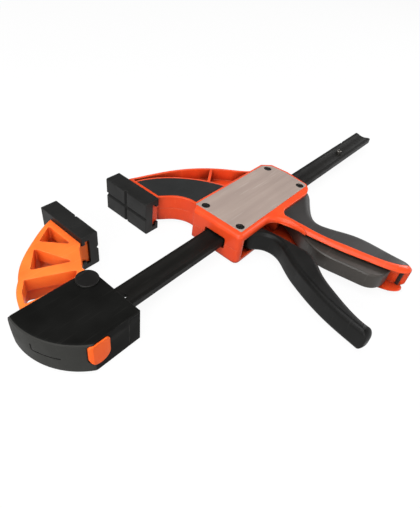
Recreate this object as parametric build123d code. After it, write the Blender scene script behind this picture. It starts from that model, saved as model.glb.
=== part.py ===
from build123d import *
import os
from math import atan2, cos, degrees, radians, sin, sqrt, tan

# One-handed quick release bar clamp, millimetres.
# X runs along the bar towards its free end, +Y towards the jaws, -Y towards the handle,
# and Z is square to the clamp's flat sides. The two flat sides mirror each other in z = 0
# while it is modelled, and the finished clamp is set down on the floor at the end.

# ---------------------------------------------------------------- driving dimensions
bar_width = 19.0
bar_thickness = 6.0
bar_length = 430.5
bar_in_head = 47.5          # how far the bar reaches into the head
bar_groove_width = 13.0
bar_groove_depth = 1.4
bar_edge_chamfer = 0.5
bar_hole_radius = 2.4
bar_front_hole_radius = 1.75
bar_hole_insets = (55.5, 62.0)      # from the bar's front and rear ends
bar_notch_insets = (29.9, 36.4)     # from the bar's front and rear ends
bar_notch_length = 4.0
bar_notch_depth = 1.6
slide_gap = 0.3             # around the bar in every slot that slides on it
running_gap = 0.06          # radial, between a pin and the piece that turns on it
side_gap = 0.3              # between a moving piece and the wall beside it

head_half = 14.35
head_wall = 2.35
head_radius = 53.0          # arc end wall, about the pivot pin
head_top = 26.1             # the head's +Y side
head_bottom = -24.3         # the head's -Y side
head_edge_round = 2.0
head_guard = 5.0            # how far the arc wall runs on past the open side, beside the jaw
end_block_length = 9.0

hub_x = -7.3
hub_y = 19.4
hub_disc_radius = 8.0
hub_disc_height = 1.2
hub_pin_radius = 3.0
jaw_hub_radius = 7.6

jaw_half = 11.0
jaw_rim_radius = 44.5
jaw_rim_width = 3.5
jaw_undercut = 1.5          # the pockets are wider in the jaw's lower half

pad_length = 50.0
pad_thickness = 14.3
pad_half = 15.7
pad_start = 53.0            # lower end of both pads above the bar's middle
pad_groove_width = 3.6
pad_groove_depth = 1.7
pad_lip = 2.8               # the pad's lips behind the T head
pad_end_wall = 9.5          # solid rubber beyond the T slot's end
tee_depth = 3.4
tee_half = 11.0
neck_half = 8.2
fixed_face_x = 27.3
moving_face_x = 76.5

body_half = 15.2
body_front = 103.6
body_rear = 216.5
body_top = 29.9
body_bottom = -26.4
body_wall = 3.6
front_wall = 15.0           # length of the guide on the bar at the front
front_skin = 5.4            # the same wall below the guide
rear_wall = 15.0
arm_half = 12.1
handle_half = 13.2
handle_cavity_half = 10.2
grip_thickness = 3.5
grip_side = 1.3
handle_wall = 1.9
handle_open_end = 8.0       # the channel runs out through the handle's end

plate_thickness = 1.2
plate_recess = 1.1
plate_screw_xs = (115.0, 206.0)
plate_screw_ys = (-15.4, 21.5)
screw_head_radius = 3.6
screw_head_height = 2.2
screw_shank_radius = 1.5
screw_sink = 0.5            # socket screw heads below the plate's face
hex_socket = 3.4

trigger_pin_x = 127.5
trigger_pin_y = 16.0
trigger_pin_radius = 2.5
trigger_half = 9.8
trigger_wall = 2.3
trigger_side_wall = 2.2
trigger_round = 3.5
nose_radius = 12.0          # the trigger's tip, seen from the side
nose_round = 8.0            # the same tip, seen from in front

drive_plate_thickness = 2.5
drive_plate_low = -14.5
drive_plate_high = 15.5
drive_spring_wire = 1.1
rib_x = 163.0
rib_thickness = 4.5

brake_x = 190.0
brake_thickness = 3.5
brake_low = -23.0
brake_high = 20.0
brake_pivot_y = 18.0
brake_half = 10.8
brake_tilt = 1.2            # degrees, foot towards the head: the locked position
brake_hole_gap = 0.35
brake_spring_y = -15.6
brake_spring_radius = 2.8
brake_spring_wire = 0.8

lever_pin_x = 176.0
lever_pin_y = -15.5
lever_pin_radius = 1.8
lever_half = 7.2
lever_wall = 2.2
lever_round = 1.6


# ---------------------------------------------------------------- small helpers
def slab(face, low, high):
    """A flat outline made solid between two heights."""
    return extrude(Pos(0, 0, low) * face, amount=high - low, dir=(0, 0, 1))


def block(x0, x1, y0, y1, half_height):
    """A box between two x and two y values, centred on z = 0."""
    return Pos((x0 + x1) / 2, (y0 + y1) / 2, 0) * Box(x1 - x0, y1 - y0, 2 * half_height)


def post(x, y, radius, low, high):
    """A round bar or hole along Z."""
    return Pos(x, y, (low + high) / 2) * Cylinder(radius, high - low)


def smooth(points, *cuts):
    """A smooth curve through points, cut into edges at fractions of its length."""
    whole = Spline(*points)
    ends = (0, *cuts, 1)
    return [whole.trim(start, end) for start, end in zip(ends, ends[1:])]


def closed(*curves):
    """A face inside edges or point lists: two points make a line, more make a smooth curve."""
    edges = []
    for curve in curves:
        if isinstance(curve[0], tuple):
            curve = [Line(*curve) if len(curve) == 2 else Spline(*curve)]
        edges.extend(curve)
    links = [Line(a @ 1, b @ 0) for a, b in zip(edges, edges[1:] + edges[:1]) if (a @ 1 - b @ 0).length > 0.001]
    return make_face(edges + links)


def moved(points, distance):
    """The same smooth curve, moved square to itself to its left by a distance."""
    result = []
    for i, (x, y) in enumerate(points):
        before, after = points[max(i - 1, 0)], points[min(i + 1, len(points) - 1)]
        run, rise = after[0] - before[0], after[1] - before[1]
        long = sqrt(run ** 2 + rise ** 2)
        result.append((x - rise / long * distance, y + run / long * distance))
    return result


def coil(radius, wire, length, turns):
    """A compression spring along +X from x = 0, its outer ends inside 0..length."""
    rise = length - 2 * wire
    path = Helix(rise / turns, rise, radius)
    wire_section = Plane(origin=path @ 0, z_dir=path % 0) * Circle(wire / 2)
    spring = sweep(wire_section, path=path)
    return Pos(wire, 0, 0) * Rot(0, 90, 0) * spring


pieces = {}

bar_front = -bar_in_head
bar_rear = bar_front + bar_length
bar_half_width = bar_width / 2
bar_half_thickness = bar_thickness / 2
slot_half_width = bar_half_width + slide_gap
slot_half_thickness = bar_half_thickness + slide_gap


def bar_slot(x0, x1):
    """The passage that slides on the bar."""
    return block(x0, x1, -slot_half_width, slot_half_width, slot_half_thickness)


# ---------------------------------------------------------------- bar
def bar_profile():
    w, t, c = bar_half_width, bar_half_thickness, bar_edge_chamfer
    g, floor = bar_groove_width / 2, bar_half_thickness - bar_groove_depth
    return make_face([
        Line((-g, t), (-w + c, t)), Line((-w + c, t), (-w, t - c)), Line((-w, t - c), (-w, -t + c)),
        Line((-w, -t + c), (-w + c, -t)), Line((-w + c, -t), (-g, -t)),
        ThreePointArc((-g, -t), (0, -floor), (g, -t)),
        Line((g, -t), (w - c, -t)), Line((w - c, -t), (w, -t + c)), Line((w, -t + c), (w, t - c)),
        Line((w, t - c), (w - c, t)), Line((w - c, t), (g, t)),
        ThreePointArc((g, t), (0, floor), (-g, t)),
    ])


bar = extrude(Plane(origin=(bar_front, 0, 0), x_dir=(0, 1, 0), z_dir=(1, 0, 0)) * bar_profile(),
              amount=bar_length)
hole_xs = (bar_front + bar_hole_insets[0], bar_rear - bar_hole_insets[1])
for x, radius in zip(hole_xs, (bar_front_hole_radius, bar_hole_radius)):
    bar -= post(x, 0, radius, -bar_thickness, bar_thickness)
notch_low_x = bar_front + bar_notch_insets[0]
for x in (notch_low_x, bar_rear - bar_notch_insets[1] - bar_notch_length):
    bar -= block(x, x + bar_notch_length, bar_half_width - bar_notch_depth, bar_width, bar_thickness)
pieces["bar"] = bar

# A rolled spring pin in the rear hole keeps the carriage on the bar.
stop_pin_half = bar_half_thickness + 1.3
stop_pin_wall = 0.8
stop_pin_slit = 0.7
stop_pin = post(hole_xs[1], 0, bar_hole_radius, -stop_pin_half, stop_pin_half)
stop_pin -= post(hole_xs[1], 0, bar_hole_radius - stop_pin_wall, -bar_thickness, bar_thickness)
stop_pin -= block(hole_xs[1], hole_xs[1] + bar_hole_radius + 1, -stop_pin_slit / 2, stop_pin_slit / 2,
                  bar_thickness)
pieces["stop_pin"] = stop_pin

# ---------------------------------------------------------------- head
head_inner_half = head_half - head_wall
corner_radius = head_top - hub_y
lock_x = (notch_low_x + 0.2, notch_low_x + bar_notch_length - 0.2)


def arc_x(radius, y):
    """Where a circle about the pivot pin crosses a height, on the far side."""
    return hub_x - sqrt(radius ** 2 - (hub_y - y) ** 2)


def arc_point(radius, angle):
    """A point about the pivot pin, the angle counted from +X."""
    return (hub_x + radius * cos(radians(angle)), hub_y + radius * sin(radians(angle)))


def head_outline(guard=0):
    """Straight sides at the bar, an arc round the pivot at the far end. The arc may run on as a guard."""
    guard_top = head_top + guard
    left, low = (arc_x(head_radius, guard_top), guard_top), (arc_x(head_radius, head_bottom), head_bottom)
    top_line = [(-corner_radius, head_top), left]
    if guard:
        guard_x = arc_x(head_radius - head_wall, guard_top) + 1
        top_line[1:1] = [(guard_x, head_top), (guard_x, guard_top)]
    half = corner_radius * sin(radians(45))
    corner_mid = (-corner_radius + half, hub_y + half)
    return make_face([
        Line((0, head_bottom), (0, hub_y)),
        ThreePointArc((0, hub_y), corner_mid, (-corner_radius, head_top)),
        *Polyline(*top_line).edges(),
        ThreePointArc(left, arc_point(head_radius, 205), low),
        Line(low, (0, head_bottom)),
    ])


def head_inside():
    """The hollow: open towards the jaw and, in front of the side wall's end, towards the handle."""
    inner = head_radius - head_wall
    past = head_wall
    low_y, high_y = head_bottom + head_wall, head_top + head_guard + past
    left, low = (arc_x(inner, high_y), high_y), (arc_x(inner, low_y), low_y)
    return make_face([
        ThreePointArc(left, arc_point(inner, 205), low),
        Line(low, (-end_block_length, low_y)),
        Line((-end_block_length, low_y), (-end_block_length, head_bottom - past)),
        Line((-end_block_length, head_bottom - past), (past, head_bottom - past)),
        Line((past, head_bottom - past), (past, high_y)),
        Line((past, high_y), left),
    ])


head_cover = slab(head_outline(head_guard), -head_half, head_half)
arc_edges = [e for e in head_cover.edges().filter_by(GeomType.CIRCLE) if abs(e.radius - head_radius) < 0.01]
head_cover = fillet(arc_edges, head_edge_round)
head_cover -= slab(head_inside(), -head_inner_half, head_inner_half)

# The guard is the arc wall alone. Its end bulges in one flat curve from the top face to the bottom face.
guard_step = 0.5
guard_radius = ((head_half - guard_step) ** 2 + head_guard ** 2) / (2 * head_guard)
guard_space = block(-2 * head_radius, 0, head_top, head_top + 2 * head_guard, head_half)
guard_round = Pos(-head_radius, head_top + head_guard - guard_radius, 0) * Rot(0, 90, 0) * Cylinder(
    guard_radius, 2 * head_radius)
head_cover -= guard_space & slab(head_inside(), -head_half, head_half)
head_cover -= guard_space - guard_round

# Ribs inside the cover hold the bar: one at its end, one beside the lock.
guide_top = bar_half_width + 1.4
guide_low = head_bottom + head_wall
end_guide = (bar_front - 1.5, bar_front + 6)
lock_guide = (lock_x[0] - 4.8, lock_x[0] - 1.0)
button_arm_top = -bar_half_width - 8.6
lock_travel = 2.0
head_cover += block(end_guide[0], end_guide[1], guide_low + 2, guide_top, head_inner_half) & slab(
    offset(head_outline(), amount=-head_wall / 2), -head_half, head_half)
lock_guide_low = button_arm_top + lock_travel + side_gap
head_cover += block(lock_guide[0], lock_guide[1], lock_guide_low, guide_top, head_inner_half)
head_cover -= bar_slot(bar_front - slide_gap, 0)

# The orange button sits in a window where the side wall meets the arc.
button_x = (-39.6, -25.0)
button_z = (-7.4, 12.4)
button_gap = 0.35
button_top_round = 2.5
button_low_round = 7.0
button_proud = 0.9
button_depth = 7.5
button_inner_y = head_bottom + button_depth


def button_profile(grow):
    """The button seen from the side wall, in X and Z: a square top and a round foot."""
    x0, x1 = button_x[0] - grow, button_x[1] + grow
    low, high = button_z[0] - grow, button_z[1] + grow
    sketch = Plane.XZ * Polyline((x0, low), (x1, low), (x1, high), (x0, high), close=True)
    face = make_face(sketch.edges())
    top = [v for v in face.vertices() if v.Z > 0]
    face = fillet(top, button_top_round)
    foot = [v for v in face.vertices() if v.Z < low + 0.01]
    return fillet(foot, button_low_round)


def through_side_wall(face, y0, y1):
    """A shape in X and Z made solid between two y values."""
    return extrude(Pos(0, y0, 0) * face, amount=y1 - y0, dir=(0, 1, 0))


head_cover -= through_side_wall(button_profile(button_gap), head_bottom - 5, button_inner_y + lock_travel)
spring_shelf = (-bar_half_width - 2.6, -bar_half_width - 0.8)
head_cover += block(button_x[0] + 1, button_x[1] - 1, spring_shelf[0], spring_shelf[1], head_inner_half)

# A thin slit in the arc wall marks out the cover's snap tab.
slit_width = 1.2
slit_z = -1.7
slit_angles = (192.6, 214.6)
slit_tick = 6.6


def arc_band(angle_from, angle_to, z_low, z_high):
    """A bent groove in the outside of the arc wall."""
    outer, inner = head_radius + 1, head_radius - 1.4
    middle = (angle_from + angle_to) / 2
    face = make_face([
        ThreePointArc(arc_point(outer, angle_from), arc_point(outer, middle), arc_point(outer, angle_to)),
        Line(arc_point(outer, angle_to), arc_point(inner, angle_to)),
        ThreePointArc(arc_point(inner, angle_to), arc_point(inner, middle), arc_point(inner, angle_from)),
        Line(arc_point(inner, angle_from), arc_point(outer, angle_from)),
    ])
    return slab(face, z_low, z_high)


head_cover -= arc_band(slit_angles[0], slit_angles[1], slit_z, slit_z + slit_width)
head_cover -= arc_band(slit_angles[0], slit_angles[0] + 1, slit_z, slit_z + slit_tick)
pin_hole_radius = hub_pin_radius + running_gap
head_cover -= post(hub_x, hub_y, hub_pin_radius, -head_half - 1, head_half + 1)

# The end block closes the head round the bar.
end_block = block(-end_block_length, 0, head_bottom, guide_top, head_inner_half) - bar_slot(-head_radius, 1)
head_screw_x = -end_block_length / 2
head_screw_ys = (head_bottom + 3.6, -bar_half_width - 3.2)
head_screw_radius = 1.2
head_screw_head = 2.2
head_screw_depth = 8.0
head_screws = []
for y in head_screw_ys:
    head_cover -= post(head_screw_x, y, head_screw_head + 0.1, -head_half - 1, -head_half + 1.4)
    head_cover -= post(head_screw_x, y, head_screw_radius + 0.05, -head_half - 1, -head_inner_half + 1)
    end_block -= post(head_screw_x, y, head_screw_radius + 0.05, -head_inner_half - 1,
                      -head_half + head_screw_depth)
    screw = post(head_screw_x, y, head_screw_radius, -head_half + 0.2, -head_half + head_screw_depth - 0.3)
    screw += post(head_screw_x, y, head_screw_head, -head_half + 0.2, -head_half + 1.4)
    screw -= Pos(head_screw_x, y, -head_half) * Box(3.0, 0.7, 1.2)
    head_screws.append(screw)
pieces["head_cover"] = head_cover
pieces["end_block"] = end_block
pieces["head_screws"] = Compound(children=head_screws)

# The pivot pin is riveted over a loose cap on the lower face.
disc_round = 0.5
pivot_pin = post(hub_x, hub_y, hub_pin_radius, -head_half - hub_disc_height * 0.6, head_half)
disc = post(hub_x, hub_y, hub_disc_radius, head_half, head_half + hub_disc_height)
pivot_pin += fillet(disc.edges().group_by(Axis.Z)[-1], disc_round)
cap = post(hub_x, hub_y, hub_disc_radius, -head_half - hub_disc_height, -head_half)
cap = fillet(cap.edges().group_by(Axis.Z)[0], disc_round)
cap -= post(hub_x, hub_y, hub_pin_radius, -head_half - 2 * hub_disc_height, -head_half + 1)
pieces["pivot_pin"] = pivot_pin
pieces["pivot_cap"] = cap

# ---------------------------------------------------------------- lock in the head
button = through_side_wall(button_profile(0), head_bottom - 3, button_inner_y - 0.5)
button &= slab(offset(head_outline(), amount=button_proud), -head_half, head_half)
arm_low = head_bottom + head_wall + side_gap
button += block(button_x[1] - 1, lock_x[1], arm_low, button_arm_top, 4.0)
catch_half = 8.0
tooth_bite = 1.2
catch_low = button_arm_top
catch_high = bar_half_width + 2.6
catch = block(lock_x[0], lock_x[1], catch_low, catch_high, catch_half)
window_low = -slot_half_width - lock_travel - 0.3
catch -= block(lock_x[0] - 1, lock_x[1] + 1, window_low, bar_half_width - tooth_bite, slot_half_thickness)
pieces["lock_button"] = button
pieces["lock_catch"] = catch
lock_spring_length = spring_shelf[0] - (button_inner_y - 0.5)
lock_spring_radius = 2.6
lock_spring_wire = 0.6
lock_spring = coil(lock_spring_radius, lock_spring_wire, lock_spring_length, 3)
button_mid_x = (button_x[0] + button_x[1]) / 2
pieces["lock_spring"] = Pos(button_mid_x, button_inner_y - 0.5, 0) * Rot(0, 0, 90) * lock_spring

# ---------------------------------------------------------------- pads
pad_end = pad_start + pad_length
pad_middle = (pad_start + pad_end) / 2


def tee_section(gap):
    """The T head and its neck, in X and Z, with the pad's face at x = 0 and its back at +X."""
    back = pad_thickness
    head_end = back - pad_lip
    h, n = tee_half + gap, neck_half + gap
    start = head_end - tee_depth - gap
    return Polyline((start, -h), (head_end, -h), (head_end, -n), (back + 1, -n), (back + 1, n),
                    (head_end, n), (head_end, h), (start, h), close=True)


def along_y(wire, y0, y1):
    """A closed outline in X and Z made solid along Y."""
    face = make_face((Plane.XZ * wire).edges())
    return extrude(Pos(0, y0, 0) * face, amount=y1 - y0, dir=(0, 1, 0))


pad_chamfer = 0.8
pad_vee = pad_groove_width / 2
pad_wire = Polyline(
    (0, -pad_half + pad_chamfer), (pad_chamfer, -pad_half), (pad_thickness, -pad_half), (pad_thickness, pad_half),
    (pad_chamfer, pad_half), (0, pad_half - pad_chamfer), (0, pad_vee), (pad_groove_depth, 0), (0, -pad_vee),
    close=True)
pad = along_y(pad_wire, pad_start, pad_end)
pad -= along_y(tee_section(side_gap), pad_start - 1, pad_end - pad_end_wall)
cross_vee = make_face(Polyline((-0.01, pad_middle - pad_vee), (pad_groove_depth, pad_middle - 0.6),
                               (pad_groove_depth, pad_middle + 0.6), (-0.01, pad_middle + pad_vee),
                               close=True).edges())
pad -= slab(cross_vee, -pad_half - 1, pad_half + 1)
pieces["moving_pad"] = Pos(moving_face_x, 0, 0) * pad
to_fixed = Pos(fixed_face_x, 0, 0) * Rot(0, 180, 0)
pieces["fixed_pad"] = to_fixed * pad
tee = along_y(tee_section(0), pad_start + 2, pad_end - pad_end_wall - side_gap)

# ---------------------------------------------------------------- swivel jaw
jaw_back_x = fixed_face_x - pad_thickness
jaw_wall_x = jaw_back_x - side_gap
jaw_top = pad_end - pad_end_wall
rim_end = 171.0
rim_turn = 136.0
flare = [(-26.4, 66.2), (-9.9, 78.6), (4.0, 87.2)]
jaw_tip = (jaw_wall_x, jaw_top - 2.5)
hub_right = (hub_x + jaw_hub_radius * 0.9, hub_y + jaw_hub_radius * 0.3)
hub_left = (hub_x - jaw_hub_radius * 0.8, hub_y - 1.5)
rim_start_point = arc_point(jaw_rim_radius, rim_end)
rim_turn_point = arc_point(jaw_rim_radius, rim_turn)
jaw_face = make_face([
    ThreePointArc(rim_start_point, arc_point(jaw_rim_radius, (rim_end + rim_turn) / 2), rim_turn_point),
    Spline(rim_turn_point, *flare, jaw_tip),
    Line(jaw_tip, (jaw_wall_x, pad_start + 1)),
    Line((jaw_wall_x, pad_start + 1), (9.0, pad_start - 2.5)),
    Line((9.0, pad_start - 2.5), (-1.6, 33.0)),
    Line((-1.6, 33.0), hub_right),
    Line(hub_right, hub_left),
    Line(hub_left, rim_start_point),
])
jaw = slab(jaw_face, -jaw_half, jaw_half)
rim_inner = jaw_rim_radius - jaw_rim_width
pockets = [
    [(-7.4, 75.4), (7.6, 85.6), (7.8, 58.0)],
    [(-14.2, 71.0), (-28.0, 54.4), (-1.8, 42.4)],
    [arc_point(rim_inner, 134), arc_point(rim_inner, 149), arc_point(rim_inner, 164), (-17.5, 27.0), (-9.4, 29.6),
     (-4.6, 33.4)],
]
pocket_round = 1.2
for corners in pockets:
    pocket = make_face(Polyline(*corners, close=True).edges())
    pocket = fillet(pocket.vertices(), pocket_round)
    jaw -= slab(pocket, 0, jaw_half)
    jaw -= slab(offset(pocket, amount=jaw_undercut, kind=Kind.INTERSECTION), -jaw_half, 0)
jaw += post(hub_x, hub_y, jaw_hub_radius, -head_inner_half + side_gap, head_inner_half - side_gap)
jaw += to_fixed * tee & block(jaw_wall_x, fixed_face_x, pad_start, pad_end, pad_half)
jaw -= post(hub_x, hub_y, pin_hole_radius, -head_half, head_half)
pieces["swivel_jaw"] = jaw

# ---------------------------------------------------------------- carriage shell
# One outline in three thicknesses: the block round the bar, the arm to the pad and the handle.
arm_shoulder_x = moving_face_x + pad_thickness + 3.7
block_face = closed(
    [(body_front, 24.0), (body_front, body_bottom + 1)],
    [(body_front, body_bottom + 1), (138.0, body_bottom + 1.2)],
    [(138.0, body_bottom + 1.2), (146.2, -28.0), (150.3, -33.8), (152.4, -56.0)],
    [(152.4, -56.0), (154.8, -39.5), (156.9, -31.5), (160.5, -28.0), (165.0, -26.8)],
    [(165.0, -26.8), (body_rear - 19.5, -27.0)],
    [(body_rear - 19.5, -27.0), (body_rear - 9.7, -24.1), (body_rear - 3.5, -18.2)],
    [(body_rear - 3.5, -18.2), (body_rear, 5.0)],
    [(body_rear, 5.0), (body_rear - 1.6, body_top - 7.3)],
    [(body_rear - 1.6, body_top - 7.3), (body_rear - 10.0, body_top)],
    [(body_rear - 10.0, body_top), (body_front + 8.9, body_top)],
    [(body_front + 8.9, body_top), (body_front + 5.4, body_top - 3.3), (body_front, 24.0)],
)
arm_outer = [(arm_shoulder_x, 94.6), (109.7, 89.5), (127.6, 83.2), (144.9, 75.1), (162.0, 63.6), (179.3, 46.5),
             (189.7, 35.0), (200.0, body_top - 0.5)]
arm_inner = [(113.0, 29.0), (113.3, 35.0), (111.2, 42.6), (107.0, 49.0), (101.6, 53.6), (arm_shoulder_x, 58.8)]
arm_face = closed(
    arm_outer,
    [(200.0, body_top - 0.5), (200.0, body_top - 8)],
    [(200.0, body_top - 8), (113.0, body_top - 8)],
    [(113.0, body_top - 8), (113.0, 29.0)],
    arm_inner,
    [(arm_shoulder_x, 58.8), (arm_shoulder_x, 94.6)],
)
handle_front = [(141.5, -18.0), (147.4, -30.5), (150.8, -40.9), (152.4, -50.2), (153.8, -62.0), (156.2, -79.0),
                (158.8, -92.0), (162.6, -106.0), (166.2, -120.5), (169.6, -130.0)]
handle_end = [(169.6, -130.0), (172.6, -135.2), (178.2, -139.4), (184.0, -138.6), (187.2, -133.8)]
handle_back = [(187.6, -127.0), (187.2, -116.2), (187.2, -104.9), (186.6, -92.7), (184.0, -81.3), (179.8, -71.2),
               (176.2, -61.9), (175.2, -54.6), (179.6, -47.4), (189.6, -39.4), (198.4, -33.6), (206.2, -28.0),
               (210.8, -20.0)]
handle_face = closed(handle_front, smooth(handle_end + handle_back, 0.2), [handle_back[-1], (206.0, -12.0)],
                     [(206.0, -12.0), handle_front[0]])
block_corner = 5.0
block_edge_round = 3.5
block_solid = slab(block_face, -body_half, body_half)
corner = [e for e in block_solid.edges().filter_by(Axis.Z) if e.center().X < body_front + 0.1 and e.center().Y < 0]
block_solid = fillet(corner, block_corner)
rim = [e for e in block_solid.edges() if abs(abs(e.center().Z) - body_half) < 0.01 and e.center().X < 135
       and e.center().Y < 20]
block_solid = fillet(rim, block_edge_round)


def round_back(solid, half, radius):
    """Round the long edges round the handle's end and down its back."""
    found = [e for e in solid.edges() if e.geom_type != GeomType.LINE and e.center().X > handle_front[-1][0] - 3
             and abs(abs(e.center().Z) - half) < 0.1]
    return fillet(found, radius)


def inside_handle(front, end, back, half):
    """A space in the handle between three smooth curves, with straight links from one to the next."""
    return slab(closed(front, [front[-1], end[0]], end, [end[-1], back[0]], back, [back[-1], front[0]]), -half, half)


def handle_core(wall, half):
    """The handle less a wall at its end and back. The corner between them is cut straight across."""
    return inside_handle(handle_front, moved(handle_end, wall)[:-1], moved(handle_back, wall), half)


# The soft grip lies over the handle's back, from a line down its side.
grip_line = [(159.3, -20.0), (159.3, -33.4), (159.8, -47.0), (160.8, -67.6), (164.7, -86.6), (168.6, -104.5),
             (172.6, -118.6), (178.2, -129.6)]
grip_foot = (182.0, -133.4)
grip_zone_face = closed(grip_line, [grip_line[-1], grip_foot], [grip_foot, (body_rear, grip_foot[1])],
                        [(body_rear, grip_foot[1]), (body_rear, -20.0)], [(body_rear, -20.0), grip_line[0]])
grip_zone = slab(grip_zone_face, -body_half, body_half)
grip_back_round = 6.5
grip_fit = 0.12             # between the grip and the handle's core
core_half = handle_half - grip_side
handle_solid = round_back(slab(handle_face, -handle_half, handle_half), handle_half, grip_back_round)
core = handle_core(grip_thickness, core_half)
core_clear = handle_core(grip_thickness - grip_fit, core_half + grip_fit)
pieces["grip"] = (handle_solid & grip_zone) - core_clear - block_solid
shell = (handle_solid - grip_zone) + (core & grip_zone)
shell += block_solid
shell += slab(arm_face, -arm_half, arm_half)

# A T head and neck on the arm's end carry the pad.
neck_low, neck_high = pad_start + 6.5, pad_end - 9.5
shell += Pos(moving_face_x, 0, 0) * tee
shell += block(moving_face_x + pad_thickness, arm_shoulder_x + 1, neck_low, neck_high, neck_half)

# The bar comes in through a wider recess in the front face.
front_recess = (6.0, bar_half_width + 1.3, bar_half_thickness + 2.5)
shell -= fillet(block(body_front - 1, body_front + front_recess[0], -front_recess[1], front_recess[1],
                      front_recess[2]).edges().filter_by(Axis.X), 1.5)

# The cavity is open downwards for the trigger and runs on into the handle's channel.
cavity_half = body_half - body_wall
cavity_low = body_bottom + 2.8
cavity_high = body_top - 5.3
cavity_front = body_front + front_wall
cavity_rear = body_rear - rear_wall
mouth_half = handle_cavity_half
mouth_front = body_front + front_skin
mouth_rear = 190.0
mouth_split = 140.0         # in front of this the mouth reaches up to the front guide
guide_foot = -slot_half_width - 4.0
shell -= block(cavity_front, rib_x, cavity_low, cavity_high, cavity_half)
shell -= block(rib_x + rib_thickness, cavity_rear, cavity_low, cavity_high, cavity_half)
shell -= block(mouth_front, mouth_split, body_bottom - 3, guide_foot, mouth_half)
shell -= block(mouth_split, mouth_rear, body_bottom - 2, cavity_low, mouth_half)
shell -= block(mouth_split, grip_line[0][0], -62.0, body_bottom, mouth_half)
channel_front = [(x - 8.0, y) for x, y in handle_front]
channel = inside_handle(channel_front, moved(handle_end, -handle_open_end)[:-1],
                        moved(handle_back, grip_thickness + handle_wall), mouth_half)
shell -= channel - block(mouth_front, body_rear + 5, body_bottom - 1, 0, body_half)
shell -= bar_slot(moving_face_x, body_rear + 5)

# Two ribs across the cavity's ceiling hold the top of the brake plate.
seat_gap = 0.35
seat_rib = 3.0
for side in (-1, 1):
    near = brake_x + side * (brake_thickness / 2 + seat_gap)
    far = near + side * seat_rib
    shell += block(min(near, far), max(near, far), brake_pivot_y - 2, cavity_high + 0.1, cavity_half + 0.1)

# The two pins turn in blind holes.
trigger_pin_half = body_half - 1.8
lever_pin_half = body_half - 2.0
shell -= post(trigger_pin_x, trigger_pin_y, trigger_pin_radius, -trigger_pin_half, trigger_pin_half)
shell -= post(lever_pin_x, lever_pin_y, lever_pin_radius, -lever_pin_half, lever_pin_half)

# Both flat sides: a recess for the plate, a recess for the arm's panel and an open pocket behind the panel.
plate_front, plate_rear = body_front + 6.3, body_rear - 2.0
plate_low, plate_high = body_bottom + 5.8, body_top - 1.7
plate_outline = Polyline((plate_front, plate_high), (plate_front, plate_low), (plate_rear - 4.1, plate_low + 0.8),
                         (plate_rear - 2.3, plate_low + 3.4), (plate_rear, 5.6), (plate_rear - 1.4, plate_high - 6.6),
                         (plate_rear - 8.5, plate_high), close=True)
plate_face = make_face(plate_outline.edges())
panel_edge = [(96.7, 86.9), (110.3, 81.7), (124.7, 72.0), (137.0, 59.6), (145.5, 47.7), (152.2, 34.0), (154.5, 26.0)]
panel_rim = 1.6
panel_depth = 1.2
panel_gap = 0.12
arm_rim = 2.1
pocket_web = 1.4            # half the web left at mid-plane
pocket_low = body_top + 1.6
cross_rib = ((166.7, 59.4), (148.3, 46.9))
cross_rib_width = 2.4


def above_block(gap, low, high):
    """The space beside the block, a little clear of its top and of the pad's shoulder."""
    return Pos((arm_shoulder_x + 2.5 + body_rear) / 2, 0, 0) * slab(
        Pos(0, (pocket_low + gap + pad_end) / 2) * Rectangle(body_rear - arm_shoulder_x - 2.5, pad_end - pocket_low - gap),
        low, high)


def panel(gap, low, high):
    """The arm's panel between the curved rib and the arm's inner edge."""
    upper, lower = moved(panel_edge, -gap), moved(arm_inner, -arm_rim - gap)
    face = closed(upper, [upper[-1], lower[0]], lower, [lower[-1], upper[0]])
    return slab(face, low, high) & above_block(gap, low, high)


def pocket(low, high):
    """The open pocket between the arm's outer rim and the curved rib, parted by a cross rib."""
    outer, inner = moved(arm_outer, -arm_rim), moved(panel_edge, panel_rim)
    inner.reverse()
    face = closed(outer, [outer[-1], inner[0]], inner, [inner[-1], outer[0]])
    middle = Line(*cross_rib) @ 0.5
    angle = degrees(atan2(cross_rib[0][1] - cross_rib[1][1], cross_rib[0][0] - cross_rib[1][0]))
    rib = Pos(middle.X, middle.Y, 0) * Rot(0, 0, angle) * Box(2 * body_half, cross_rib_width, 4 * body_half)
    return slab(face, low, high) & above_block(0, low, high) - rib


shell -= pocket(pocket_web, body_half)
shell -= pocket(-body_half, -pocket_web)
panel_floor, panel_top = arm_half - panel_depth, arm_half + 0.15
shell -= panel(0, panel_floor, body_half)
shell -= panel(0, -body_half, -panel_floor)
pieces["arm_panel_upper"] = panel(panel_gap, panel_floor, panel_top)
pieces["arm_panel_lower"] = panel(panel_gap, -panel_top, -panel_floor)
plate_slab = slab(plate_face, body_half - plate_recess, body_half + 1)
plate_solid = slab(offset(plate_face, amount=-panel_gap), body_half - plate_recess,
                   body_half - plate_recess + plate_thickness)
plate_top = body_half - plate_recess + plate_thickness
screws = []
for x in plate_screw_xs:
    for y in plate_screw_ys:
        top = plate_top - screw_sink
        base = top - screw_head_height
        tip = mouth_half + 0.4
        plate_slab += post(x, y, screw_head_radius + 0.15, base, body_half + 1)
        plate_slab += post(x, y, screw_shank_radius + 0.05, tip, base + 0.1)
        plate_solid -= post(x, y, screw_head_radius + 0.15, base, body_half + 1)
        screw = post(x, y, screw_head_radius, base, top) + post(x, y, screw_shank_radius, tip, base)
        screw -= Pos(x, y, top - 1.2) * extrude(RegularPolygon(hex_socket / 2, 6), amount=2)
        screws.append(screw)
screw_set = Compound(children=screws)
shell -= plate_slab
shell -= mirror(plate_slab, about=Plane.XY)
far = 2 * bar_length
pieces["shell_upper"] = shell & Pos(0, 0, far / 2) * Box(far, far, far)
pieces["shell_lower"] = shell & Pos(0, 0, -far / 2) * Box(far, far, far)
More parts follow.
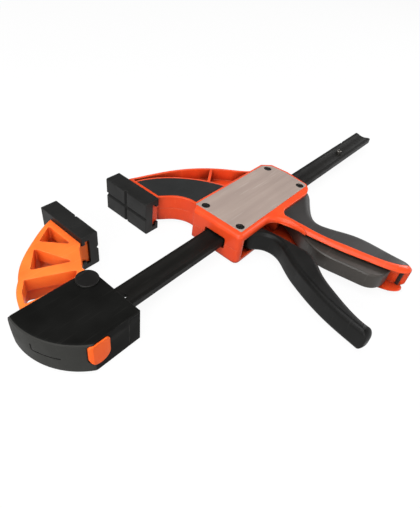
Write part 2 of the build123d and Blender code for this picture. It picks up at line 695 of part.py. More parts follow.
for name, piece in (("side_plate", plate_solid), ("plate_screws", screw_set)):
    pieces[name + "_upper"] = piece
    pieces[name + "_lower"] = mirror(piece, about=Plane.XY)

# ---------------------------------------------------------------- trigger
trigger_front = [(121.0, -16.0), (122.6, -25.0), (128.0, -30.6), (130.8, -37.5), (130.0, -46.0), (125.5, -54.6),
                 (118.7, -65.0), (113.0, -76.5), (108.0, -88.5), (102.2, -106.5), (98.5, -124.5), (96.5, -137.0), (95.8, -145.0)]
trigger_end = [(98.4, -150.0), (103.0, -150.0)]
trigger_back = [(105.6, -144.0), (105.4, -138.0), (106.9, -128.4), (111.1, -116.7), (117.5, -102.9), (125.5, -89.0), (134.4, -78.2),
                (139.2, -68.0), (139.0, -56.0), (138.6, -45.0), (137.2, -33.0), (134.0, -20.0)]
boss = trigger_back[-1][0] - trigger_pin_x
trigger_curve = smooth(trigger_front + trigger_end + trigger_back, 0.46, 0.54)
trigger = slab(closed(trigger_curve), -trigger_half, trigger_half)
long_edges = [e for e in trigger.edges() if abs(abs(e.center().Z) - trigger_half) < 0.1 and e.center().Y < -30]
trigger = fillet(long_edges, trigger_round)

# The tip is rounded off both ways, like the end of a thumb.
nose_x, nose_y = 101.4, -129.8
nose = post(nose_x, nose_y, nose_radius, -trigger_half, trigger_half)
nose = fillet(nose.edges().filter_by(GeomType.CIRCLE), nose_round)
above_nose = block(nose_x - body_front, body_rear, nose_y, trigger_pin_y, trigger_half)
trigger &= nose + above_nose
trigger += slab(closed(
    [(trigger_pin_x - boss, trigger_pin_y), trigger_front[0]], [trigger_front[0], trigger_back[-1]],
    [trigger_back[-1], (trigger_pin_x + boss, trigger_pin_y)],
), -trigger_half, trigger_half)
trigger += post(trigger_pin_x, trigger_pin_y, boss, -trigger_half, trigger_half)
inner = trigger_half - trigger_side_wall
trigger_web_top = trigger_front[0][1]
hollow_front = moved(trigger_front, trigger_wall)[:-1]
hollow_back = moved(trigger_back, -6)[2:]
trigger -= slab(closed(
    hollow_front, [hollow_front[-1], hollow_back[0]], hollow_back,
    [hollow_back[-1], (mouth_split, trigger_web_top)], [(mouth_split, trigger_web_top), hollow_front[0]],
), -inner, inner)
trigger -= block(cavity_front, mouth_split, trigger_web_top - 0.1, cavity_high, inner)
trigger -= post(trigger_pin_x, trigger_pin_y, trigger_pin_radius + running_gap, -body_half, body_half)
pieces["trigger"] = trigger
pieces["trigger_pin"] = post(trigger_pin_x, trigger_pin_y, trigger_pin_radius, -trigger_pin_half + 0.1,
                             trigger_pin_half - 0.1)

# ---------------------------------------------------------------- drive plates and their spring
drive_start = trigger_pin_x + boss + side_gap
plate_hole_gap = 0.35
drive_half = cavity_half - side_gap
for name, x in (("drive_plate_front", drive_start),
                ("drive_plate_rear", drive_start + drive_plate_thickness)):
    plate = block(x, x + drive_plate_thickness, drive_plate_low, drive_plate_high, drive_half)
    plate = fillet(plate.edges().filter_by(Axis.X), 2.0)
    plate -= block(x - 1, x + drive_plate_thickness + 1, -bar_half_width - plate_hole_gap,
                   bar_half_width + plate_hole_gap, bar_half_thickness + plate_hole_gap)
    pieces[name] = plate
drive_end = drive_start + 2 * drive_plate_thickness
drive_spring_radius = sqrt(bar_half_width ** 2 + bar_half_thickness ** 2) + 0.2 + drive_spring_wire / 2
drive_spring_turns = 5
pieces["drive_spring"] = Pos(drive_end + 0.1, 0, 0) * coil(drive_spring_radius, drive_spring_wire,
                                                          rib_x - drive_end - 0.2, drive_spring_turns)

# ---------------------------------------------------------------- brake plate and its spring
brake_plate = block(-brake_thickness / 2, brake_thickness / 2, brake_low - brake_pivot_y,
                    brake_high - brake_pivot_y, brake_half)
brake_plate = fillet(brake_plate.edges().filter_by(Axis.X), 2.0)
brake_plate = Pos(brake_x, brake_pivot_y, 0) * Rot(0, 0, -brake_tilt) * brake_plate
brake_plate -= block(brake_x - 10, brake_x + 10, -bar_half_width - brake_hole_gap, bar_half_width + brake_hole_gap,
                     bar_half_thickness + brake_hole_gap)
pieces["brake_plate"] = brake_plate


def brake_face_x(y, side):
    """The tilted plate's front (-1) or rear (+1) face at a height."""
    return brake_x - (brake_pivot_y - y) * tan(radians(brake_tilt)) + side * brake_thickness / 2


brake_spring_start = brake_face_x(brake_spring_y, 1) + 0.2
pieces["brake_spring"] = Pos(brake_spring_start, brake_spring_y, 0) * coil(
    brake_spring_radius, brake_spring_wire, cavity_rear - 0.1 - brake_spring_start, 5)

# ---------------------------------------------------------------- release lever
toe_x = brake_face_x(brake_low + 1, -1) - side_gap
lever_front = [(171.8, -17.5), (168.0, -30.0), (160.0, -44.0), (152.5, -58.0), (148.2, -72.0), (150.4, -93.0),
               (153.2, -108.0), (155.6, -116.5)]
lever_end = [(160.5, -121.8), (168.0, -124.2), (173.2, -124.6)]
lever_back = [(174.4, -122.6), (173.8, -113.0), (170.8, -100.0), (167.0, -85.0), (165.0, -70.0), (165.6, -55.5),
              (170.4, -42.0), (178.6, -31.0), (lever_pin_x + 9.6, -25.6)]
lever_boss = 4.4
lever = slab(closed(smooth(lever_front + lever_end, 0.8), lever_back), -lever_half, lever_half)
long_edges = [e for e in lever.edges() if abs(abs(e.center().Z) - lever_half) < 0.1 and e.length > 60
              and e.center().X < lever_back[4][0] - 5]
lever = fillet(long_edges, lever_round)
lever += slab(closed(
    [(lever_pin_x - lever_boss, lever_pin_y), lever_front[0]], [lever_front[0], lever_back[-1]],
    [lever_back[-1], (toe_x, brake_low - 0.8)], [(toe_x, brake_low - 0.8), (toe_x, brake_low + 2.4)],
    [(toe_x, brake_low + 2.4), (lever_pin_x + lever_boss + 3, -17.0)],
    [(lever_pin_x + lever_boss + 3, -17.0), (lever_pin_x + lever_boss, lever_pin_y)],
), -lever_half, lever_half)
lever += post(lever_pin_x, lever_pin_y, lever_boss, -lever_half, lever_half)
lever_inner = lever_half - lever_wall
front_in, back_out = moved(lever_front + lever_end, lever_wall), moved(lever_back, -6)
hollow = closed(front_in, [front_in[-1], back_out[0]], back_out, [back_out[-1], front_in[0]])
lever_solid_top = -36.0
below_lever_web = block(body_front, body_rear, -bar_length, lever_solid_top, body_half)
lever -= slab(hollow, -lever_inner, lever_inner) & below_lever_web
lever -= post(lever_pin_x, lever_pin_y, lever_pin_radius + running_gap, -body_half, body_half)
pieces["release_lever"] = lever
pieces["lever_pin"] = post(lever_pin_x, lever_pin_y, lever_pin_radius, -lever_pin_half + 0.1, lever_pin_half - 0.1)

# ---------------------------------------------------------------- set down on the floor and write out
boxes = [piece.bounding_box() for piece in pieces.values()]
middle_x = (min(b.min.X for b in boxes) + max(b.max.X for b in boxes)) / 2
middle_y = (min(b.min.Y for b in boxes) + max(b.max.Y for b in boxes)) / 2
floor_z = min(b.min.Z for b in boxes)
to_floor = Pos(-middle_x, -middle_y, -floor_z)
os.makedirs("parts", exist_ok=True)
for name, piece in pieces.items():
    export_step(to_floor * piece, "parts/" + name + ".step")
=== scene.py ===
import bpy
from mathutils import Matrix, Vector

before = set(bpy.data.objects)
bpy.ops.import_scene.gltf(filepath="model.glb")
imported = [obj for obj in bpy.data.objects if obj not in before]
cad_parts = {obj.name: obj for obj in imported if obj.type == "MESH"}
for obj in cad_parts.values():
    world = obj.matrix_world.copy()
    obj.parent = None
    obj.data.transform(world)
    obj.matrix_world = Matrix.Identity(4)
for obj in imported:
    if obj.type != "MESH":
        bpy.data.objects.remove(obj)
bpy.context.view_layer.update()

scene = bpy.context.scene
scene.view_settings.view_transform = "Standard"

# ---------------------------------------------------------------------------------------------
# The bar. Cold drawn flat steel with a shallow groove along each broad face, blackened in an
# oxide bath. Drawing leaves fine lines along its length, and its proud edges rub bright first.
# ---------------------------------------------------------------------------------------------

bar_black = (15, 15, 14)
bar_brown = (27, 26, 24)
bar_bright = (52, 51, 49)
bar_edge_width = 0.0006
bar_roughness = 0.42


def linear(channel):
    share = channel / 255
    return share / 12.92 if share <= 0.04045 else ((share + 0.055) / 1.055) ** 2.4


def colour(rgb):
    """A paint colour, written as it looks on a screen, as the shader wants it."""
    return (linear(rgb[0]), linear(rgb[1]), linear(rgb[2]), 1.0)


def feed(tree, socket, value):
    """Feeds a socket from another one, or sets it to a plain value."""
    if isinstance(value, bpy.types.NodeSocket):
        tree.links.new(value, socket)
    else:
        socket.default_value = value


def calculated(tree, operation, first, second):
    """One step of arithmetic on masks or heights."""
    step = tree.nodes.new("ShaderNodeMath")
    step.operation = operation
    feed(tree, step.inputs[0], first)
    feed(tree, step.inputs[1], second)
    return step.outputs[0]


def spread(tree, value, low, high, to_low=0.0, to_high=1.0):
    """A value between low and high, laid over to_low to to_high."""
    step = tree.nodes.new("ShaderNodeMapRange")
    feed(tree, step.inputs["Value"], value)
    feed(tree, step.inputs["From Min"], low)
    feed(tree, step.inputs["From Max"], high)
    feed(tree, step.inputs["To Min"], to_low)
    feed(tree, step.inputs["To Max"], to_high)
    return step.outputs["Result"]


# A Mix node has one row of sockets for each kind of value. These are the ones for colours.
mix_share, mix_first, mix_second, mix_result = 0, 6, 7, 2


def blended(tree, share, first, second):
    """Two colours mixed by a mask."""
    step = tree.nodes.new("ShaderNodeMix")
    step.data_type = "RGBA"
    feed(tree, step.inputs[mix_share], share)
    feed(tree, step.inputs[mix_first], first)
    feed(tree, step.inputs[mix_second], second)
    return step.outputs[mix_result]


def mottled(tree, place, scale, detail, distortion=0.0):
    """A cloudy value from 0 to 1, its clouds 1/scale metres across."""
    clouds = tree.nodes.new("ShaderNodeTexNoise")
    clouds.inputs["Detail"].default_value = detail
    clouds.inputs["Distortion"].default_value = distortion
    feed(tree, clouds.inputs["Vector"], place)
    feed(tree, clouds.inputs["Scale"], scale)
    return clouds.outputs["Fac"]


def stretched(tree, place, scale, turn=(0.0, 0.0, 0.0)):
    """A place on the model with each direction stretched or squeezed, for lines in a pattern."""
    step = tree.nodes.new("ShaderNodeMapping")
    feed(tree, step.inputs["Vector"], place)
    feed(tree, step.inputs["Scale"], scale)
    feed(tree, step.inputs["Rotation"], turn)
    return step.outputs["Vector"]


def open_group(name, inputs, outputs):
    """An empty node group with those sockets, its two ends, and the place on the model."""
    group = bpy.data.node_groups.new(name, "ShaderNodeTree")
    for title, value in inputs:
        socket = group.interface.new_socket(name=title, in_out="INPUT", socket_type="NodeSocketFloat")
        socket.default_value = value
    for title, kind in outputs:
        group.interface.new_socket(name=title, in_out="OUTPUT", socket_type=kind)
    given = group.nodes.new("NodeGroupInput").outputs
    wanted = group.nodes.new("NodeGroupOutput").inputs
    return group, given, wanted, group.nodes.new("ShaderNodeTexCoord").outputs["Object"]


def placed(tree, group, **values):
    """A group put into a material, with its own values."""
    node = tree.nodes.new("ShaderNodeGroup")
    node.node_tree = group
    for title, value in values.items():
        feed(tree, node.inputs[title.replace("_", " ").capitalize()], value)
    return node.outputs


# Edges that hands and other tools rub: where the surface turns a corner, broken up unevenly.
least_turn = 0.01

edge_wear, given, wanted, place = open_group(
    "edge wear",
    [("Width", 0.001), ("Reach", 0.2), ("Breakup", 140.0)],
    [("Mask", "NodeSocketFloat"), ("Normal", "NodeSocketVector")],
)
rounded = edge_wear.nodes.new("ShaderNodeBevel")
rounded.samples = 6
edge_wear.links.new(given["Width"], rounded.inputs["Radius"])
facing = edge_wear.nodes.new("ShaderNodeVectorMath")
facing.operation = "DOT_PRODUCT"
edge_wear.links.new(rounded.outputs["Normal"], facing.inputs[0])
edge_wear.links.new(edge_wear.nodes.new("ShaderNodeNewGeometry").outputs["Normal"], facing.inputs[1])
turning = calculated(edge_wear, "SUBTRACT", 1.0, facing.outputs["Value"])
corner = spread(edge_wear, turning, least_turn, given["Reach"])
patchy = spread(edge_wear, mottled(edge_wear, place, given["Breakup"], detail=4.0), low=0.30, high=0.62)
edge_wear.links.new(calculated(edge_wear, "MULTIPLY", corner, patchy), wanted["Mask"])
edge_wear.links.new(rounded.outputs["Normal"], wanted["Normal"])

# Fine lines that drawing, rolling or a sanding belt leaves in steel, along the bar's length, and
# broader bands where the oxide took unevenly.
band_stretch = (8.0, 130.0, 130.0)

fine_lines, given, wanted, place = open_group(
    "fine lines",
    [("Spacing", 1800.0), ("Length", 40.0)],
    [("Height", "NodeSocketFloat"), ("Tone", "NodeSocketFloat")],
)
line_stretch = fine_lines.nodes.new("ShaderNodeCombineXYZ")
for direction, amount in zip(line_stretch.inputs, (given["Length"], given["Spacing"], given["Spacing"])):
    fine_lines.links.new(amount, direction)
along_lines = stretched(fine_lines, place, line_stretch.outputs[0])
along_bands = stretched(fine_lines, place, band_stretch)
fine_lines.links.new(mottled(fine_lines, along_lines, scale=1.0, detail=2.0), wanted["Height"])
fine_lines.links.new(mottled(fine_lines, along_bands, scale=1.0, detail=4.0), wanted["Tone"])

# What handling leaves on any surface: greasy smudges, and a few hairline scratches. Each set of
# scratches lies its own way and is finer or coarser than the next.
scratch_sets = (((0.3, 0.1, 0.5), 1.0), ((0.0, 0.4, -0.7), 0.8), ((0.2, 0.0, 1.9), 1.3))

handling, given, wanted, place = open_group(
    "handling marks",
    [("Size", 38.0), ("Scratches", 0.2)],
    [("Smudge", "NodeSocketFloat"), ("Scratch", "NodeSocketFloat")],
)
greasy = mottled(handling, place, given["Size"], detail=5.0, distortion=0.6)
handling.links.new(spread(handling, greasy, low=0.42, high=0.68), wanted["Smudge"])
hairlines = None
for turn, fine in scratch_sets:
    along_scratches = stretched(handling, place, (26.0 * fine, 900.0 * fine, 90.0), turn)
    line = mottled(handling, along_scratches, scale=1.0, detail=1.0)
    thin = spread(handling, line, low=0.70, high=0.76)
    hairlines = thin if hairlines is None else calculated(handling, "MAXIMUM", hairlines, thin)
handling.links.new(calculated(handling, "MULTIPLY", hairlines, given["Scratches"]), wanted["Scratch"])


def new_finish(name, metallic, specular):
    """A material, its node tree and its surface shader."""
    material = bpy.data.materials.new(name)
    material.use_nodes = True
    tree = material.node_tree
    surface = tree.nodes["Principled BSDF"]
    surface.inputs["Metallic"].default_value = metallic
    surface.inputs["Specular IOR Level"].default_value = specular
    return material, tree, surface


def relief(tree, surface, height, depth, normal):
    """A bump of that depth in metres over a rounded normal."""
    bump = tree.nodes.new("ShaderNodeBump")
    bump.inputs["Distance"].default_value = depth
    feed(tree, bump.inputs["Height"], height)
    feed(tree, bump.inputs["Normal"], normal)
    feed(tree, surface.inputs["Normal"], bump.outputs["Normal"])


# How deep the lines in steel are, how much duller a smudge makes it, and how far the bottoms and
# the tops of the lines are from the roughness between them.
line_depth = 0.00002
smudged_steel = 0.14
line_bottoms, line_tops = -0.06, 0.08


def steel(name, base, stain, bright, roughness, metallic, specular=0.4, edge=0.0006, reach=0.25,
          spacing=1800.0):
    """Steel with lines along the bar, stained in bands, its corners rubbed bright."""
    material, tree, surface = new_finish(name, metallic, specular)
    wear = placed(tree, edge_wear, width=edge, reach=reach, breakup=120.0)
    lines = placed(tree, fine_lines, spacing=spacing, length=40.0)
    marks = placed(tree, handling, size=30.0, scratches=0.25)
    tone = blended(tree, spread(tree, lines["Tone"], 0.3, 0.7), colour(base), colour(stain))
    rubbed = calculated(tree, "MAXIMUM", wear["Mask"], marks["Scratch"])
    feed(tree, surface.inputs["Base Color"], blended(tree, rubbed, tone, colour(bright)))
    dull = calculated(tree, "MULTIPLY", marks["Smudge"], smudged_steel)
    lined = spread(tree, lines["Height"], 0.2, 0.8, roughness + line_bottoms, roughness + line_tops)
    feed(tree, surface.inputs["Roughness"], calculated(tree, "ADD", dull, lined))
    relief(tree, surface, lines["Height"], line_depth, wear["Normal"])
    return material


def dress(material, *names):
    """Gives nodes of the frame this finish."""
    for name in names:
        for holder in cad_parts[name].material_slots:
            holder.material = material


oxide_bar = steel("bar_oxide", bar_black, bar_brown, bar_bright, bar_roughness, metallic=0.15,
                  specular=0.11, edge=bar_edge_width, reach=0.30)
dress(oxide_bar, "bar")

# ---------------------------------------------------------------------------------------------
# The stop pin. A turned steel pin driven through the bar's far end, so that the body can't slide
# off. It is left bright, with a thin film of oil.
# ---------------------------------------------------------------------------------------------

pin_steel = (150, 147, 141)
pin_dull = (120, 115, 108)
pin_bright = (205, 203, 198)
pin_roughness = 0.30

bright_pin = steel("pin_steel", pin_steel, pin_dull, pin_bright, pin_roughness, metallic=0.95)
dress(bright_pin, "stop_pin")

# ---------------------------------------------------------------------------------------------
# The head. Two black glass filled nylon mouldings, a rounded cover and a block on the bar's end,
# which two screws hold to each other. The round end wall is painted paler as painted light, and
# the seams and recesses are darkened as painted shade.
# ---------------------------------------------------------------------------------------------

head_black = (13, 13, 12)
head_grey = (21, 21, 20)
head_rubbed = (74, 73, 70)
# Painted light: the round end wall's paler grey stands in for the lamp from the left.
head_painted_light = (53, 53, 51)
# Painted shade: a near black that darkens the head's seams and recesses.
head_painted_shade = (3, 3, 3)
head_roughness = 0.46
head_seam_reach = 0.004
pivot_middle = (-0.16865, 0.0388, 0.0)
wall_reach = 0.0524
wall_blend = 0.0003

# The texture of a mould: fine grain from spark erosion over slow waves where the plastic shrank.
wave_share = 2.5

moulded_grain, given, wanted, place = open_group(
    "moulded grain",
    [("Grain", 1500.0), ("Waves", 45.0)],
    [("Height", "NodeSocketFloat"), ("Tone", "NodeSocketFloat")],
)
pitted = mottled(moulded_grain, place, given["Grain"], detail=2.0)
waved = mottled(moulded_grain, place, given["Waves"], detail=2.0)
deep_waves = calculated(moulded_grain, "MULTIPLY", waved, wave_share)
moulded_grain.links.new(calculated(moulded_grain, "ADD", pitted, deep_waves), wanted["Height"])
moulded_grain.links.new(waved, wanted["Tone"])

# Painted shade: colour darkened where a surface is closed in, at seams, pockets and the insides of shells,
# by an occlusion mask broken up by clouds.
painted_recess_shade, given, wanted, place = open_group(
    "painted shade in recesses",
    [("Reach", 0.012), ("Open", 0.75), ("Closed", 0.25)],
    [("Mask", "NodeSocketFloat")],
)
openness = painted_recess_shade.nodes.new("ShaderNodeAmbientOcclusion")
openness.samples = 6
painted_recess_shade.links.new(given["Reach"], openness.inputs["Distance"])
clouded = mottled(painted_recess_shade, place, scale=90.0, detail=4.0)
uneven = spread(painted_recess_shade, clouded, 0.3, 0.7, to_low=0.85, to_high=1.0)
shut = spread(painted_recess_shade, openness.outputs["AO"], given["Closed"], given["Open"], to_low=1.0, to_high=0.0)
painted_recess_shade.links.new(calculated(painted_recess_shade, "MULTIPLY", shut, uneven), wanted["Mask"])


def painted_light_face(tree):
    """The round end wall of the head, everything that far from the pivot's middle, painted paler as painted
    light.
    """
    place = tree.nodes.new("ShaderNodeTexCoord").outputs["Object"]
    out = tree.nodes.new("ShaderNodeVectorMath")
    out.operation = "DISTANCE"
    feed(tree, out.inputs[0], stretched(tree, place, (1.0, 1.0, 0.0)))
    feed(tree, out.inputs[1], pivot_middle)
    return spread(tree, out.outputs["Value"], wall_reach - wall_blend, wall_reach)


# How much of a turn makes a corner of plastic, how much duller a smudge makes it, and how much
# smoother a rubbed corner is.
plastic_turn = 0.30
smudged_plastic = 0.16
rubbed_smoother = -0.08


def plastic(name, base, shade, rubbed, roughness, specular, edge, worn, grain=1500.0, depth=0.00003,
            scratches=0.12, painted_light=None, painted_shade=None, reach_in=0.012):
    """Moulded plastic: two close tones, grain, corners rubbed paler, and marks of handling. One face may be
    given its own paler colour as painted light, and recesses may be darkened as painted shade."""
    material, tree, surface = new_finish(name, 0.0, specular)
    wear = placed(tree, edge_wear, width=edge, reach=plastic_turn, breakup=160.0)
    skin = placed(tree, moulded_grain, grain=grain, waves=45.0)
    marks = placed(tree, handling, size=38.0, scratches=scratches)
    tone = blended(tree, spread(tree, skin["Tone"], 0.3, 0.7), colour(base), colour(shade))
    # Painted light: the chosen face is given its own paler colour, standing in for light falling on it.
    if painted_light:
        tone = blended(tree, painted_light_face(tree), tone, colour(painted_light))
    # Painted shade: where the surface is closed in, its colour is darkened towards the given shade colour.
    if painted_shade:
        tone = blended(tree, placed(tree, painted_recess_shade, reach=reach_in)["Mask"], tone, colour(painted_shade))
    corners = calculated(tree, "MULTIPLY", wear["Mask"], worn)
    touched = calculated(tree, "MAXIMUM", corners, marks["Scratch"])
    feed(tree, surface.inputs["Base Color"], blended(tree, touched, tone, colour(rubbed)))
    dull = calculated(tree, "MULTIPLY", marks["Smudge"], smudged_plastic)
    polished = calculated(tree, "MULTIPLY", corners, rubbed_smoother)
    broken = calculated(tree, "ADD", dull, polished)
    feed(tree, surface.inputs["Roughness"], calculated(tree, "ADD", broken, roughness))
    relief(tree, surface, skin["Height"], depth, wear["Normal"])
    return material


head_nylon = plastic("head_nylon", head_black, head_grey, head_rubbed, head_roughness, 0.04,
                     edge=0.0012, worn=0.45, painted_light=head_painted_light, painted_shade=head_painted_shade,
                     reach_in=head_seam_reach)
dress(head_nylon, "head_cover", "end_block")

socket_black = (22, 22, 21)
socket_brown = (33, 32, 30)
socket_worn = (120, 117, 112)
socket_roughness = 0.36

black_screw = steel("screw_oxide", socket_black, socket_brown, socket_worn, socket_roughness,
                    metallic=0.5, edge=0.0003)
dress(black_screw, "head_screws")

# ---------------------------------------------------------------------------------------------
# The pivot. A steel pin with a broad flat head goes through cover and jaw and is riveted over a
# loose cap below. Both are blackened like the bar.
# ---------------------------------------------------------------------------------------------

rivet_black = (26, 25, 24)
rivet_shade = (24, 23, 22)
rivet_worn = (92, 90, 86)
rivet_roughness = 0.40

black_rivet = steel("rivet_oxide", rivet_black, rivet_shade, rivet_worn, rivet_roughness,
                    metallic=0.4, specular=0.3)
dress(black_rivet, "pivot_pin", "pivot_cap")

# ---------------------------------------------------------------------------------------------
# The jaw lock. An orange nylon button on a hardened steel catch that sits in a notch of the bar's
# edge. A small coil spring pushes the button out, and the catch slides with it.
# ---------------------------------------------------------------------------------------------

button_orange = (255, 106, 38)
button_shade = (250, 94, 30)
button_rubbed = (255, 138, 84)
button_roughness = 0.34
catch_grey = (118, 114, 108)
catch_stain = (92, 86, 78)
catch_bright = (178, 175, 168)
catch_roughness = 0.34
wire_grey = (112, 109, 104)
wire_stain = (84, 80, 74)
wire_bright = (170, 168, 162)
wire_roughness = 0.28

button_nylon = plastic("button_nylon", button_orange, button_shade, button_rubbed, button_roughness,
                       0.12, edge=0.0008, worn=0.35, depth=0.00001)
dress(button_nylon, "lock_button")

catch_steel = steel("catch_steel", catch_grey, catch_stain, catch_bright, catch_roughness, metallic=0.9)
dress(catch_steel, "lock_catch")

spring_wire = steel("spring_wire", wire_grey, wire_stain, wire_bright, wire_roughness, metallic=0.95,
                    edge=0.0002)
dress(spring_wire, "lock_spring")

# ---------------------------------------------------------------------------------------------
# The swivel jaw. One moulding of orange nylon that turns on the pivot: a hub, a deep rim and ribs
# round open pockets, so that it is stiff and light. Its edges rub paler, and its pockets are darkened as
# painted shade.
# ---------------------------------------------------------------------------------------------

# The jaw's orange is lighter and yellower than the shells': partly its own colour, partly painted light
# raised to match its brightly lit tops.
jaw_orange = (255, 126, 50)
jaw_shade = (253, 110, 41)
jaw_rubbed = (255, 170, 108)
# Painted shade: a dark red that darkens the jaw's pockets.
jaw_painted_shade = (196, 58, 22)
jaw_pocket_reach = 0.009
jaw_roughness = 0.38

jaw_nylon = plastic("jaw_nylon", jaw_orange, jaw_shade, jaw_rubbed, jaw_roughness, 0.22,
                    edge=0.0008, worn=0.5, depth=0.00002, painted_shade=jaw_painted_shade, reach_in=jaw_pocket_reach)
dress(jaw_nylon, "swivel_jaw")

# ---------------------------------------------------------------------------------------------
# The pads. Black rubber blocks with grooves across their faces, slid onto a tee rail on each jaw.
# The rubber is dull with a low sheen, and greys with dust in its pores.
# ---------------------------------------------------------------------------------------------

pad_black = (11, 11, 10)
pad_dust = (24, 24, 23)
pad_rubbed = (70, 70, 67)
pad_roughness = 0.45

pad_rubber = plastic("pad_rubber", pad_black, pad_dust, pad_rubbed, pad_roughness, 0.24,
                     edge=0.0010, worn=0.4, grain=900.0, depth=0.00006, scratches=0.1)
dress(pad_rubber, "fixed_pad", "moving_pad")

# ---------------------------------------------------------------------------------------------
# The body shells. Two halves of glossy orange nylon that meet on the bar's middle plane, with the
# jaw arm, mechanism box and handle strap in one moulding each. Their recesses are darkened as painted
# shade.
# ---------------------------------------------------------------------------------------------

shell_orange = (232, 78, 36)
shell_shade = (222, 69, 30)
shell_rubbed = (255, 140, 84)
# Painted shade: a dark red that darkens the shells' recesses and insides.
shell_painted_shade = (104, 22, 10)
shell_roughness = 0.28

shell_nylon = plastic("shell_nylon", shell_orange, shell_shade, shell_rubbed, shell_roughness, 0.26,
                      edge=0.0011, worn=0.35, depth=0.00001, painted_shade=shell_painted_shade)
dress(shell_nylon, "shell_upper", "shell_lower")

# ---------------------------------------------------------------------------------------------
# The side plates. Stamped steel sheet, satin brushed along the bar, set flush over the mechanism
# box and held by four small black socket screws each.
# ---------------------------------------------------------------------------------------------

plate_satin = (180, 162, 152)
plate_shade = (168, 150, 141)
plate_bright = (222, 212, 203)
plate_roughness = 0.44

satin_plate = steel("plate_satin", plate_satin, plate_shade, plate_bright, plate_roughness,
                    metallic=0.35, edge=0.0004, reach=0.3, spacing=2600.0)
dress(satin_plate, "side_plate_upper", "side_plate_lower")
dress(black_screw, "plate_screws_upper", "plate_screws_lower")

# ---------------------------------------------------------------------------------------------
# The arm panels. Thin covers of dark grey nylon with a fine moulded texture, pressed into both
# sides of the jaw arm.
# ---------------------------------------------------------------------------------------------

panel_dark = (31, 32, 32)
panel_shade = (38, 39, 39)
panel_rubbed = (88, 87, 85)
panel_roughness = 0.44

panel_nylon = plastic("panel_nylon", panel_dark, panel_shade, panel_rubbed, panel_roughness, 0.20,
                      edge=0.0007, worn=0.4)
dress(panel_nylon, "arm_panel_upper", "arm_panel_lower")

# ---------------------------------------------------------------------------------------------
# The grip. Soft dark grey rubber moulded round the back of the handle, bulging to fill the palm.
# It has a velvety skin that shines only where a palm has polished it.
# ---------------------------------------------------------------------------------------------

grip_grey = (36, 34, 33)
grip_shade = (44, 41, 40)
grip_rubbed = (98, 95, 91)
grip_roughness = 0.42

grip_rubber = plastic("grip_rubber", grip_grey, grip_shade, grip_rubbed, grip_roughness, 0.42,
                      edge=0.0014, worn=0.35, grain=1100.0, depth=0.00004, scratches=0.1)
dress(grip_rubber, "grip")

# ---------------------------------------------------------------------------------------------
# The trigger. One long black nylon moulding, pivoted on a steel pin through the shells. Fingers
# polish its front edge.
# ---------------------------------------------------------------------------------------------

trigger_dark = (10, 10, 9)
trigger_shade = (14, 14, 13)
trigger_rubbed = (60, 60, 58)
trigger_roughness = 0.38

trigger_nylon = plastic("trigger_nylon", trigger_dark, trigger_shade, trigger_rubbed,
                        trigger_roughness, 0.18, edge=0.0016, worn=0.35, depth=0.00002)
dress(trigger_nylon, "trigger")
dress(bright_pin, "trigger_pin")

# ---------------------------------------------------------------------------------------------
# The release lever. A cast and painted lever behind the trigger, warm grey, that tips the brake
# plate when a finger pulls it. It turns on a steel pin like the trigger's.
# ---------------------------------------------------------------------------------------------

lever_grey = (58, 53, 49)
lever_shade = (51, 47, 43)
lever_rubbed = (140, 134, 128)
lever_roughness = 0.34

lever_paint = plastic("lever_paint", lever_grey, lever_shade, lever_rubbed, lever_roughness, 0.42,
                      edge=0.0009, worn=0.5, depth=0.00001)
dress(lever_paint, "release_lever")
dress(bright_pin, "lever_pin")

# ---------------------------------------------------------------------------------------------
# The works inside the box. Hardened plates that bite the bar as they tip, ground on both faces,
# and the coil springs that set them back.
# ---------------------------------------------------------------------------------------------

ground_steel = (104, 100, 94)
ground_stain = (80, 75, 68)
ground_bright = (172, 169, 163)
ground_roughness = 0.36

hard_plate = steel("hard_plate", ground_steel, ground_stain, ground_bright, ground_roughness, metallic=0.9)
dress(hard_plate, "drive_plate_front", "drive_plate_rear", "brake_plate")
dress(spring_wire, "drive_spring", "brake_spring")

# ---------------------------------------------------------------------------------------------
# The table and the light. A white table runs out into a white room with a dark ceiling, so that
# flat black tops stay black. Four square soft lamps stand above, in front, to the right and left.
# ---------------------------------------------------------------------------------------------

floor_half = 4.0
floor_drop = 0.0004
floor_white = (252, 252, 252)
floor_grey = (140, 140, 139)
floor_glow = 0.93
room_light = 0.28
ceiling_dark = 0.08
ceiling_starts = 0.22
ceiling_full = 0.50
pure_white = (1.0, 1.0, 1.0, 1.0)

corner_signs = ((-1, -1), (1, -1), (1, 1), (-1, 1))
floor_corners = [(floor_half * x, floor_half * y, -floor_drop) for x, y in corner_signs]
floor_mesh = bpy.data.meshes.new("table_top")
floor_mesh.from_pydata(floor_corners, [], [(0, 1, 2, 3)])
floor = bpy.data.objects.new("table_top", floor_mesh)
scene.collection.objects.link(floor)


def seen_straight(tree, rays):
    """Whether it is seen by the camera itself, in a mirror or through something clear."""
    straight = calculated(tree, "MAXIMUM", rays["Is Camera Ray"], rays["Is Glossy Ray"])
    return calculated(tree, "MAXIMUM", straight, rays["Is Transmission Ray"])


def mixed_shaders(tree, share, first, second):
    """Two shaders mixed by a mask."""
    mixed = tree.nodes.new("ShaderNodeMixShader")
    feed(tree, mixed.inputs["Fac"], share)
    feed(tree, mixed.inputs[1], first)
    feed(tree, mixed.inputs[2], second)
    return mixed.outputs["Shader"]


floor_paint = bpy.data.materials.new("table_white")
floor_paint.use_nodes = True
tree = floor_paint.node_tree
tree.nodes.clear()
rays = tree.nodes.new("ShaderNodeLightPath").outputs
lit = tree.nodes.new("ShaderNodeBsdfDiffuse")
paint = blended(tree, rays["Is Camera Ray"], colour(floor_grey), colour(floor_white))
feed(tree, lit.inputs["Color"], paint)
white = tree.nodes.new("ShaderNodeEmission")
feed(tree, white.inputs["Strength"], 1.0)
glow = calculated(tree, "MULTIPLY", seen_straight(tree, rays), floor_glow)
top = mixed_shaders(tree, glow, lit.outputs["BSDF"], white.outputs["Emission"])
feed(tree, tree.nodes.new("ShaderNodeOutputMaterial").inputs["Surface"], top)
floor_mesh.materials.append(floor_paint)

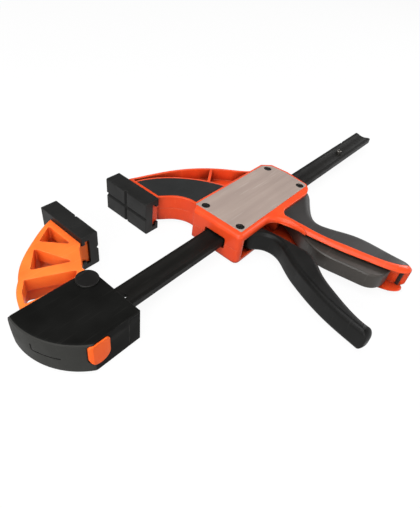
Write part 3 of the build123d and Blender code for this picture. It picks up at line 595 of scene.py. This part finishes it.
room = bpy.data.worlds.new("white_room")
scene.world = room
room.use_nodes = True
tree = room.node_tree
tree.nodes.clear()
rays = tree.nodes.new("ShaderNodeLightPath").outputs
fill = tree.nodes.new("ShaderNodeBackground")
feed(tree, fill.inputs["Strength"], room_light)
upwards = tree.nodes.new("ShaderNodeSeparateXYZ")
feed(tree, upwards.inputs["Vector"], tree.nodes.new("ShaderNodeTexCoord").outputs["Generated"])
ceiling = spread(tree, upwards.outputs["Z"], ceiling_starts, ceiling_full, to_low=1.0, to_high=ceiling_dark)
white = tree.nodes.new("ShaderNodeBackground")
feed(tree, white.inputs["Color"], pure_white)
feed(tree, white.inputs["Strength"], calculated(tree, "MAXIMUM", ceiling, rays["Is Camera Ray"]))
around = mixed_shaders(tree, seen_straight(tree, rays), fill.outputs["Background"],
                       white.outputs["Background"])
feed(tree, tree.nodes.new("ShaderNodeOutputWorld").inputs["Surface"], around)


def soft_lamp(name, place, aim, width, power):
    """A square soft lamp at place, shining at aim."""
    lamp = bpy.data.lights.new(name, "AREA")
    lamp.size = width
    lamp.energy = power
    holder = bpy.data.objects.new(name, lamp)
    holder.location = place
    holder.rotation_mode = "QUATERNION"
    holder.rotation_quaternion = (Vector(aim) - Vector(place)).to_track_quat("-Z", "Y")
    scene.collection.objects.link(holder)


soft_lamp("lamp_above", place=(-0.45, 0.05, 1.00), aim=(-0.1, 0.0, 0.0), width=0.80, power=10.0)
soft_lamp("lamp_front", place=(-0.20, -1.10, 0.60), aim=(0.0, 0.0, 0.02), width=0.90, power=3.0)
soft_lamp("lamp_right", place=(0.90, -0.25, 0.72), aim=(0.0, -0.08, 0.02), width=0.40, power=5.0)
soft_lamp("lamp_left", place=(-0.85, -0.20, 0.34), aim=(-0.1, 0.0, 0.02), width=0.60, power=5.0)

# ---------------------------------------------------------------------------------------------
# The camera stands at the head end, above the bar, and is held slightly turned.
# ---------------------------------------------------------------------------------------------

camera_place = Vector((-0.2805185, -0.1343136, 0.2445670))
camera_right = Vector((0.65146829, -0.74985549, 0.1153508))
camera_up = Vector((0.45783659, 0.50980616, 0.72834287))
camera_back = Vector((-0.60495845, -0.42168047, 0.67543383))

lens = bpy.data.cameras.new("camera")
lens.lens = 30.403
lens.sensor_width = 36.0
lens.clip_start = 0.01
lens.clip_end = 50.0
camera = bpy.data.objects.new("camera", lens)
camera_turn = Matrix((camera_right, camera_up, camera_back)).transposed().to_4x4()
camera.matrix_world = Matrix.Translation(camera_place) @ camera_turn
scene.collection.objects.link(camera)
scene.camera = camera
